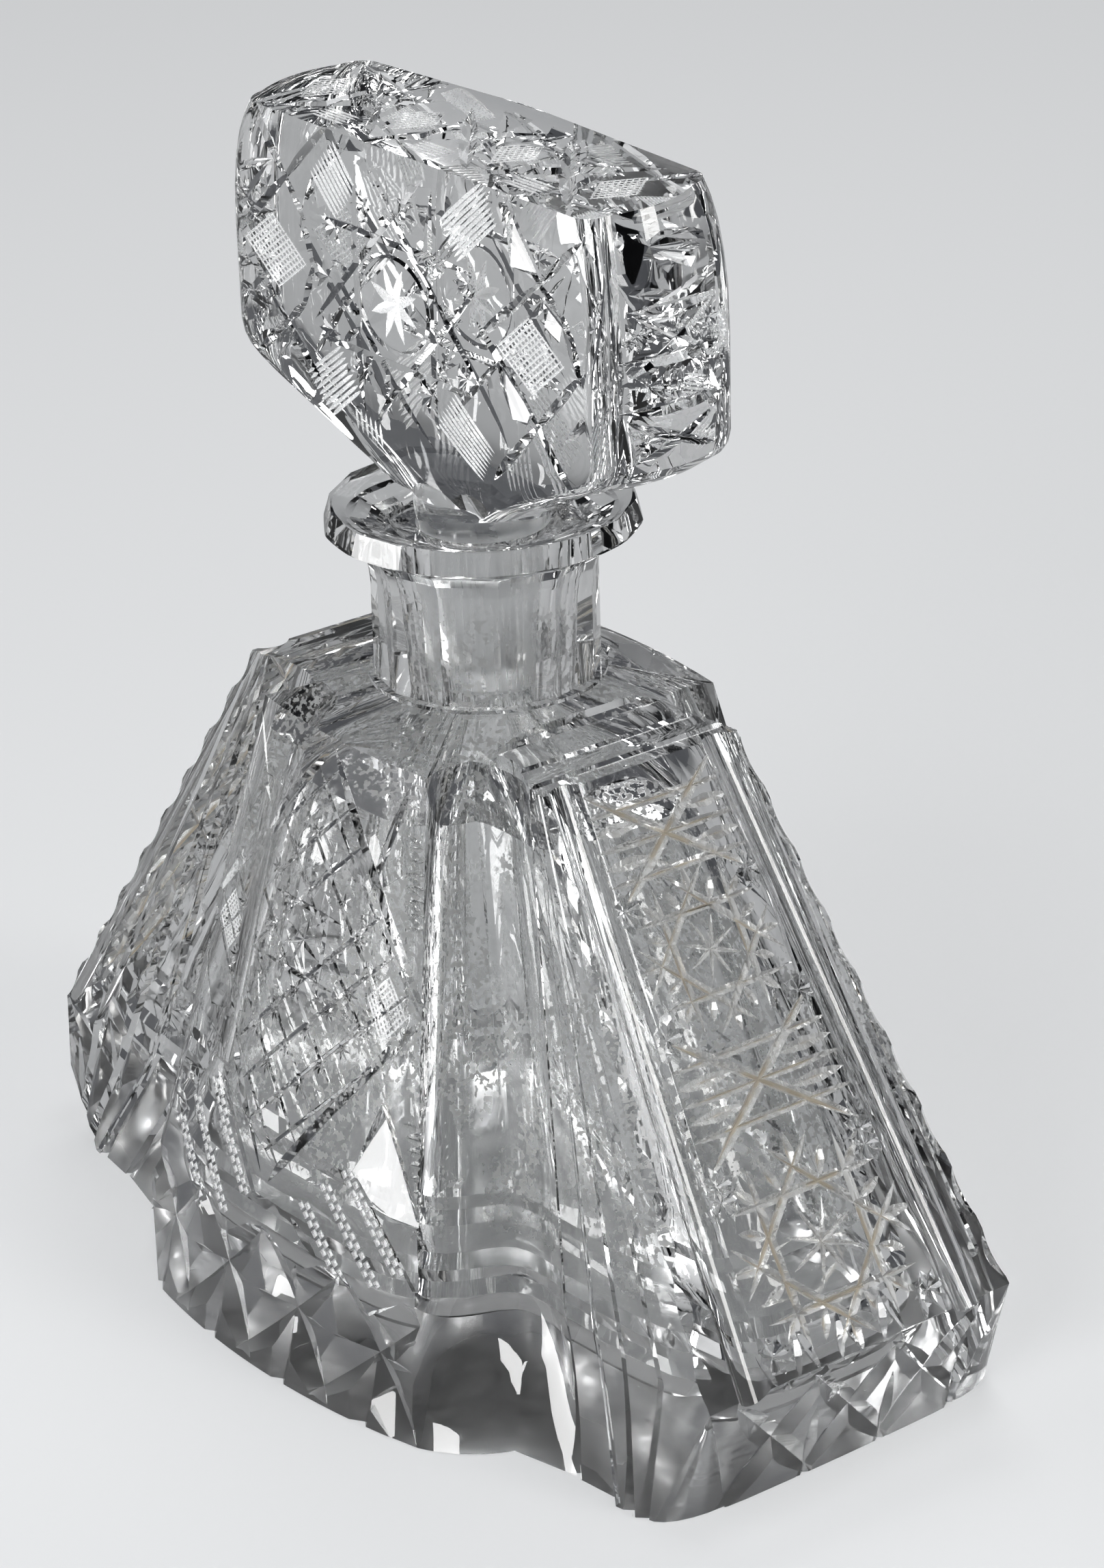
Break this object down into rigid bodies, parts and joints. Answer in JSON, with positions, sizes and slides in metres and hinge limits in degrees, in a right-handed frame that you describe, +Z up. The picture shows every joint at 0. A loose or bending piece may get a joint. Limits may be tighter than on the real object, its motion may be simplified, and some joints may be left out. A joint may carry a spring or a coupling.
{
  "type": "cut glass decanter",
  "caption": "Heavy cut glass decanter with a cross-shaped, sloping body, a faceted neck and a flat slab stopper that lifts out.",
  "frame": {"origin": "centre of the base, on the surface the decanter stands on", "axes": "+Z up through the neck, +X along the body towards one sloping end panel, -Y towards one broad face"},
  "size_m": [0.212, 0.128, 0.2297],
  "materials": {
    "body_glass": "clear lead glass, cut and polished, with a dull water line and some lime inside",
    "stopper_glass": "clear lead glass, cut and polished, with fine matt hatching and a matt ground plug"
  },
  "bodies": {
    "decanter": {"decanter_body": "body_glass"},
    "stopper": {"stopper": "stopper_glass"}
  },
  "joints": [
    {"name": "stopper_lift", "type": "slide", "parent": "decanter", "child": "stopper", "axis": [0, 0, 1], "range_m": [0, 0.036]}
  ]
}
